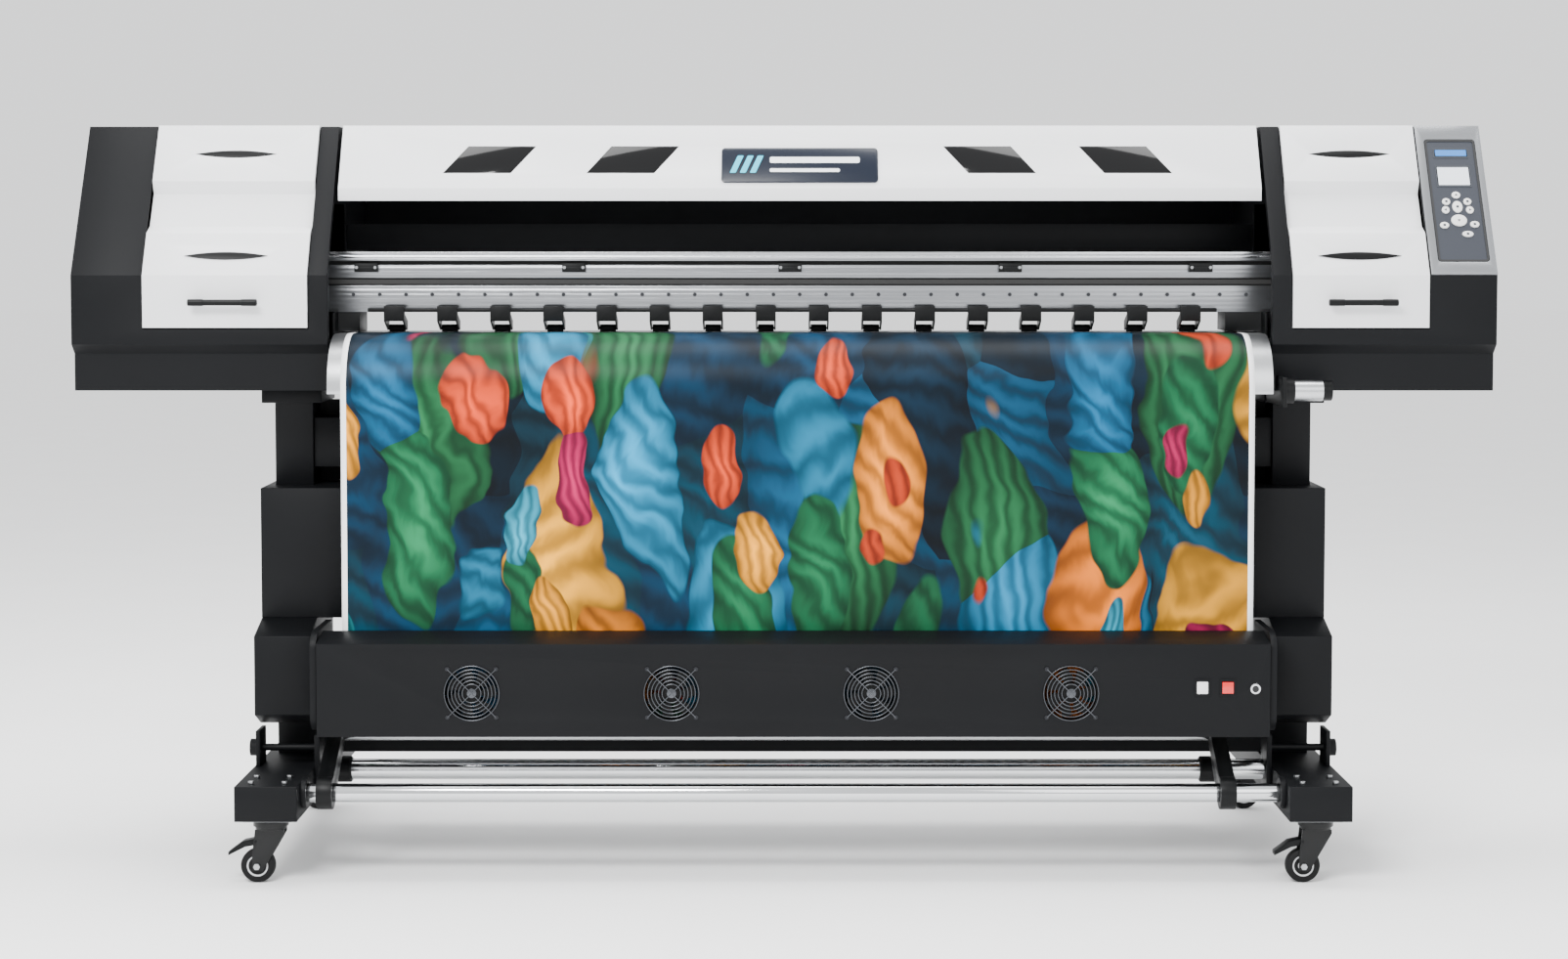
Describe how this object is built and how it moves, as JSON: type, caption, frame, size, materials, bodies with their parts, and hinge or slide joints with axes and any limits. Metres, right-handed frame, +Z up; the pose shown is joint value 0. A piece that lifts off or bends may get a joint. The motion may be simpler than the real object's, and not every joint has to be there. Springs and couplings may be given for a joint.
{
  "type": "printer cutter",
  "caption": "Wide roll-fed printer and cutter on a wheeled stand, with lifting covers, gantry carriage, pinch feed, drying fans and take-up rollers.",
  "frame": {"origin": "on the floor, midway between the cabinets' ends and midway along the feet", "axes": "+X to the right as seen from the front, +Y to the back, +Z up"},
  "size_m": [2.8, 0.8, 1.47],
  "materials": {
    "black_sheet": "fine textured black powder coat",
    "white_sheet": "satin white paint",
    "black_plastic": "moulded black plastic",
    "smoked_acrylic": "smoked acrylic",
    "grey_bezel": "silver-grey painted plastic",
    "panel_film": "blue-grey polyester keypad film",
    "aluminium": "anodised aluminium",
    "bright_steel": "polished tube",
    "belt_rubber": "reinforced rubber belt",
    "tyre_rubber": "black rubber",
    "printed_vinyl": "printed white vinyl",
    "castor_steel": "black enamelled pressed steel",
    "red_plastic": "translucent red plastic",
    "white_plastic": "white moulded plastic",
    "key_rubber": "white silicone rubber",
    "ink_plastic": "moulded polythene bottles"
  },
  "bodies": {
    "root": {"left_casing": "black_sheet", "right_casing": "black_sheet", "rear_cover": "black_sheet", "control_bezel": "grey_bezel", "control_panel": "panel_film", "beam": "aluminium", "guide_rail": "bright_steel", "drive_belt": "belt_rubber", "platens": "aluminium", "side_plates": "black_plastic", "media_web": "printed_vinyl", "feet": "black_sheet", "stand_frame": "black_sheet", "leg_covers": "black_sheet", "dryer_case": "black_sheet", "fan_frames": "black_plastic", "roll_brackets": "black_sheet", "castor_plates": "castor_steel", "gear_motors": "bright_steel", "ink_station": "ink_plastic"},
    "hood": {"hood": "white_sheet", "hood_inserts": "smoked_acrylic"},
    "left_door": {"left_door": "white_sheet", "left_door_handles": "black_plastic"},
    "right_door": {"right_door": "white_sheet", "right_door_handles": "black_plastic"},
    "carriage": {"carriage": "black_plastic"},
    "grit_roller": {"grit_roller": "bright_steel"},
    "pinch_arms": {"pinch_arms": "black_plastic"},
    "pinch_wheels": {"pinch_wheels": "tyre_rubber"},
    "supply_roll": {"supply_roll": "printed_vinyl"},
    "takeup_roller": {"takeup_roller": "bright_steel"},
    "dancer": {"dancer_arms": "black_plastic", "dancer_tubes": "bright_steel"},
    "rocker_switch": {"rocker_switch": "red_plastic"},
    "push_switch": {"push_switch": "white_plastic"},
    "castor_fork_front_left": {"castor_fork_front_left": "castor_steel"},
    "castor_wheel_front_left": {"castor_wheel_front_left": "tyre_rubber"},
    "castor_fork_front_right": {"castor_fork_front_right": "castor_steel"},
    "castor_wheel_front_right": {"castor_wheel_front_right": "tyre_rubber"},
    "castor_fork_rear_left": {"castor_fork_rear_left": "castor_steel"},
    "castor_wheel_rear_left": {"castor_wheel_rear_left": "tyre_rubber"},
    "castor_fork_rear_right": {"castor_fork_rear_right": "castor_steel"},
    "castor_wheel_rear_right": {"castor_wheel_rear_right": "tyre_rubber"},
    "brake_pedal_front_left": {"brake_pedal_front_left": "black_plastic"},
    "brake_pedal_front_right": {"brake_pedal_front_right": "black_plastic"},
    "fan_rotor_1": {"fan_rotor_1": "black_plastic"},
    "fan_rotor_2": {"fan_rotor_2": "black_plastic"},
    "fan_rotor_3": {"fan_rotor_3": "black_plastic"},
    "fan_rotor_4": {"fan_rotor_4": "black_plastic"},
    "key_enter": {"key_enter": "key_rubber"},
    "key_up": {"key_up": "key_rubber"},
    "key_menu": {"key_menu": "key_rubber"},
    "key_pause": {"key_pause": "key_rubber"},
    "key_left": {"key_left": "key_rubber"},
    "key_right": {"key_right": "key_rubber"},
    "key_down": {"key_down": "key_rubber"},
    "key_home": {"key_home": "key_rubber"},
    "key_test": {"key_test": "key_rubber"},
    "key_cut": {"key_cut": "key_rubber"}
  },
  "joints": [
    {"name": "hood_lift", "type": "hinge", "parent": "root", "child": "hood", "pos_m": [0.0315, 0.096, 1.463], "axis": [-1, 0, 0], "range_deg": [0, 60]},
    {"name": "left_door_open", "type": "hinge", "parent": "root", "child": "left_door", "pos_m": [-1.0975, -0.004, 1.463], "axis": [-1, 0, 0], "range_deg": [0, 65]},
    {"name": "right_door_open", "type": "hinge", "parent": "root", "child": "right_door", "pos_m": [1.1325, -0.004, 1.463], "axis": [-1, 0, 0], "range_deg": [0, 65]},
    {"name": "carriage_travel", "type": "slide", "parent": "root", "child": "carriage", "axis": [-1, 0, 0], "range_m": [0, 2.3]},
    {"name": "grit_spin", "type": "hinge", "parent": "root", "child": "grit_roller", "pos_m": [0.0315, -0.07, 1.0421], "axis": [1, 0, 0], "continuous": true},
    {"name": "pinch_lift", "type": "hinge", "parent": "root", "child": "pinch_arms", "pos_m": [0.0165, -0.112, 1.1], "axis": [1, 0, 0], "range_deg": [0, 12]},
    {"name": "pinch_spin", "type": "hinge", "parent": "pinch_arms", "child": "pinch_wheels", "pos_m": [0.0165, -0.07, 1.0628], "axis": [1, 0, 0], "continuous": true},
    {"name": "supply_spin", "type": "hinge", "parent": "root", "child": "supply_roll", "pos_m": [0.018, 0.1612, 0.3], "axis": [1, 0, 0], "continuous": true},
    {"name": "takeup_spin", "type": "hinge", "parent": "root", "child": "takeup_roller", "pos_m": [0.018, -0.165, 0.185], "axis": [1, 0, 0], "continuous": true},
    {"name": "dancer_swing", "type": "hinge", "parent": "root", "child": "dancer", "pos_m": [0.018, -0.336, 0.172], "axis": [1, 0, 0], "range_deg": [0, 7]},
    {"name": "rocker_tilt", "type": "hinge", "parent": "root", "child": "rocker_switch", "pos_m": [0.855, -0.35, 0.379], "axis": [1, 0, 0], "range_deg": [-8, 8]},
    {"name": "push_travel", "type": "slide", "parent": "root", "child": "push_switch", "axis": [0, 1, 0], "range_m": [0, 0.002], "stiffness_N_per_m": 400},
    {"name": "castor_swivel_front_left", "type": "hinge", "parent": "root", "child": "castor_fork_front_left", "pos_m": [-0.992, -0.343, 0.11], "axis": [0, 0, 1], "continuous": true},
    {"name": "castor_spin_front_left", "type": "hinge", "parent": "castor_fork_front_left", "child": "castor_wheel_front_left", "pos_m": [-1.017, -0.343, 0.033], "axis": [0, 1, 0], "continuous": true},
    {"name": "castor_swivel_front_right", "type": "hinge", "parent": "root", "child": "castor_fork_front_right", "pos_m": [1.028, -0.343, 0.11], "axis": [0, 0, 1], "continuous": true},
    {"name": "castor_spin_front_right", "type": "hinge", "parent": "castor_fork_front_right", "child": "castor_wheel_front_right", "pos_m": [1.003, -0.343, 0.033], "axis": [0, 1, 0], "continuous": true},
    {"name": "castor_swivel_rear_left", "type": "hinge", "parent": "root", "child": "castor_fork_rear_left", "pos_m": [-0.992, 0.343, 0.11], "axis": [0, 0, 1], "continuous": true},
    {"name": "castor_spin_rear_left", "type": "hinge", "parent": "castor_fork_rear_left", "child": "castor_wheel_rear_left", "pos_m": [-1.017, 0.343, 0.033], "axis": [0, 1, 0], "continuous": true},
    {"name": "castor_swivel_rear_right", "type": "hinge", "parent": "root", "child": "castor_fork_rear_right", "pos_m": [1.028, 0.343, 0.11], "axis": [0, 0, 1], "continuous": true},
    {"name": "castor_spin_rear_right", "type": "hinge", "parent": "castor_fork_rear_right", "child": "castor_wheel_rear_right", "pos_m": [1.003, 0.343, 0.033], "axis": [0, 1, 0], "continuous": true},
    {"name": "brake_front_left", "type": "hinge", "parent": "castor_fork_front_left", "child": "brake_pedal_front_left", "pos_m": [-1.019, -0.343, 0.082], "axis": [0, -1, 0], "range_deg": [0, 8]},
    {"name": "brake_front_right", "type": "hinge", "parent": "castor_fork_front_right", "child": "brake_pedal_front_right", "pos_m": [1.001, -0.343, 0.082], "axis": [0, -1, 0], "range_deg": [0, 8]},
    {"name": "fan_spin_1", "type": "hinge", "parent": "root", "child": "fan_rotor_1", "pos_m": [-0.6035, -0.34, 0.368], "axis": [0, 1, 0], "continuous": true},
    {"name": "fan_spin_2", "type": "hinge", "parent": "root", "child": "fan_rotor_2", "pos_m": [-0.2185, -0.34, 0.368], "axis": [0, 1, 0], "continuous": true},
    {"name": "fan_spin_3", "type": "hinge", "parent": "root", "child": "fan_rotor_3", "pos_m": [0.1665, -0.34, 0.368], "axis": [0, 1, 0], "continuous": true},
    {"name": "fan_spin_4", "type": "hinge", "parent": "root", "child": "fan_rotor_4", "pos_m": [0.5515, -0.34, 0.368], "axis": [0, 1, 0], "continuous": true},
    {"name": "press_enter", "type": "slide", "parent": "root", "child": "key_enter", "axis": [0, 0.8679, -0.4968], "range_m": [0, 0.001], "stiffness_N_per_m": 300},
    {"name": "press_up", "type": "slide", "parent": "root", "child": "key_up", "axis": [0, 0.8679, -0.4968], "range_m": [0, 0.001], "stiffness_N_per_m": 300},
    {"name": "press_menu", "type": "slide", "parent": "root", "child": "key_menu", "axis": [0, 0.8679, -0.4968], "range_m": [0, 0.001], "stiffness_N_per_m": 300},
    {"name": "press_pause", "type": "slide", "parent": "root", "child": "key_pause", "axis": [0, 0.8679, -0.4968], "range_m": [0, 0.001], "stiffness_N_per_m": 300},
    {"name": "press_left", "type": "slide", "parent": "root", "child": "key_left", "axis": [0, 0.8679, -0.4968], "range_m": [0, 0.001], "stiffness_N_per_m": 300},
    {"name": "press_right", "type": "slide", "parent": "root", "child": "key_right", "axis": [0, 0.8679, -0.4968], "range_m": [0, 0.001], "stiffness_N_per_m": 300},
    {"name": "press_down", "type": "slide", "parent": "root", "child": "key_down", "axis": [0, 0.8679, -0.4968], "range_m": [0, 0.001], "stiffness_N_per_m": 300},
    {"name": "press_home", "type": "slide", "parent": "root", "child": "key_home", "axis": [0, 0.8679, -0.4968], "range_m": [0, 0.001], "stiffness_N_per_m": 300},
    {"name": "press_test", "type": "slide", "parent": "root", "child": "key_test", "axis": [0, 0.8679, -0.4968], "range_m": [0, 0.001], "stiffness_N_per_m": 300},
    {"name": "press_cut", "type": "slide", "parent": "root", "child": "key_cut", "axis": [0, 0.8679, -0.4968], "range_m": [0, 0.001], "stiffness_N_per_m": 300}
  ],
  "couplings": [
    {"joint": "pinch_spin", "follows": "grit_spin", "ratio": -1.6}
  ]
}
